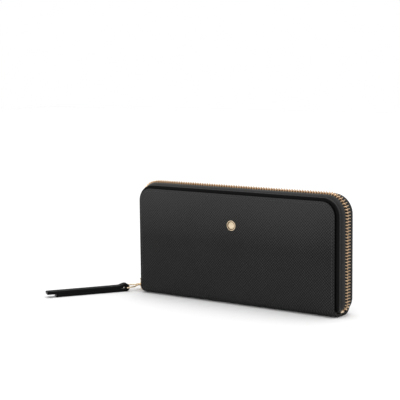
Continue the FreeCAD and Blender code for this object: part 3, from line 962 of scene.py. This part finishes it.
def turned_edge(name, node):
    """The top edge of a front pocket, turned over: a soft roll, and a crease below it."""
    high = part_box(node)[1]
    place = (0, high.y + 0.1 * mm, high.z - 1.4 * mm)
    bpy.ops.object.select_all(action="DESELECT")
    bpy.ops.mesh.primitive_cube_add(size=1, location=place)
    roll = bpy.context.object
    roll.name = name
    roll.scale = (2 * CARD_HALF - 0.6 * mm, 0.5 * mm, 3.2 * mm)
    bpy.ops.object.transform_apply(location=True, rotation=True, scale=True)
    edit()
    for height in (-1.0, -0.5, 0.3, 1.1):
        cut((0, 0, place[2] + height * mm), (0, 0, 1))
    edit(False)
    drops = {-2: 0.38, -1: 0.05, 0: 0.3, 1: 0.0}
    for vertex in roll.data.vertices:
        height = (vertex.co.z - place[2]) / mm
        if vertex.co.y < place[1]:
            vertex.co.y += drops.get(round(height - 0.3), 0.1) * mm
    round_edges(roll, 0.12 * mm, 2, 25)
    roll.data.materials.append(pocket_calf)
    settle(roll, 60)
    return roll


card_nodes = ["front_card_pocket_" + str(i) for i in range(1, 5)]
rolls = []
for i, node in enumerate(card_nodes):
    rolls.append(turned_edge("front_pocket_edge_" + str(i + 1), node))
rolls.append(turned_edge("front_bill_edge", "front_bill_panel"))
card_tops = [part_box(node) for node in reversed(card_nodes)]


def card_face(height):
    """How far forward the stepped pockets come at a height."""
    for low, high in card_tops:
        if height < high.z:
            return high.y
    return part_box("front_bill_panel")[1].y


short = stitch_along_x(0.4 * mm, 1.9 * mm, 6, 5)
settle(short, 60)
SHORT_PITCH = 2.5 * mm
SEAM_LOW = 12.6 * mm
upright = Matrix.Rotation(math.pi / 2, 4, "Y")
seams = []
for side in (-CARD_HALF + 1.6 * mm, -1.0 * mm, 1.0 * mm, CARD_HALF - 1.6 * mm):
    for i in range(28):
        height = SEAM_LOW + 0.9 * mm + i * SHORT_PITCH
        seams.append(Matrix.Translation((side, card_face(height) + 0.05 * mm, height)) @ upright)
for i in range(66):
    along = -CARD_HALF + 2.6 * mm + i * SHORT_PITCH
    seams.append(Matrix.Translation((along, card_face(0) + 0.05 * mm, SEAM_LOW)))
front_seams = copies(short, seams, "front_pocket_stitching")
binding_seam = []
for i in range(73):
    along = -90 * mm + i * SHORT_PITCH
    binding_seam.append(Matrix.Translation((along, coin_front[0].y - 0.62 * mm, 63.6 * mm)))
coin_seams = copies(short, binding_seam, "coin_binding_front_stitching")
bpy.data.objects.remove(short)
for piece in rolls + [front_seams]:
    other = mirrored(piece, piece.name.replace("front", "back"))
    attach(piece, "front_cover")
    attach(other, "back_cover")
coin_seams_back = mirrored(coin_seams, "coin_binding_back_stitching")
for piece in (coin_seams, coin_seams_back):
    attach(piece, "spine")


# ---- gussets ----
# Thin calf folded in a V between the coin pocket's ends and each cover, glued along both
# edges, so that a compartment opens like a fan and nothing falls out at the side.
gusset_low, gusset_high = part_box("gusset_front_right")
bpy.ops.object.select_all(action="DESELECT")
bpy.ops.mesh.primitive_plane_add(size=1)
gusset = bpy.context.object
gusset.name = "gusset_front_right_calf"
edit()
bpy.ops.mesh.subdivide(number_cuts=11)
edit(False)
deep = gusset_high.x - gusset_low.x - 0.7 * mm
wide = gusset_high.y - gusset_low.y + 0.3 * mm
for vertex in gusset.data.vertices:
    across = vertex.co.x + 0.5
    tall = vertex.co.y + 0.5
    fold = 1 - abs(2 * across - 1) ** 1.35
    pinch = 1 - 0.35 * (1 - tall) ** 2
    top = gusset_high.z - 5 * mm * fold
    vertex.co = (
        gusset_high.x - 0.3 * mm - deep * fold * pinch,
        gusset_high.y + 0.15 * mm - wide * across,
        gusset_low.z + (top - gusset_low.z) * tall,
    )
gusset.data.materials.append(pocket_calf)
gusset.data.materials.append(edge_paint)
modify(gusset, "SOLIDIFY", thickness=0.6 * mm, offset=0, material_offset_rim=1)
settle(gusset, 50)
GUSSET_START = 3.2 * mm
GUSSET_END = 11.1 * mm
left_gusset = mirrored(gusset, "gusset_front_left_calf", 0)
for piece, end in ((gusset, "right"), (left_gusset, "left")):
    other = mirrored(piece, "gusset_back_" + end + "_calf")
    for each, cover, side in ((piece, "front", -1), (other, "back", 1)):
        cover + "_cover"
        side * GUSSET_START
        side * GUSSET_END
        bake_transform(each)
        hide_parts("gusset_" + cover + "_" + end)
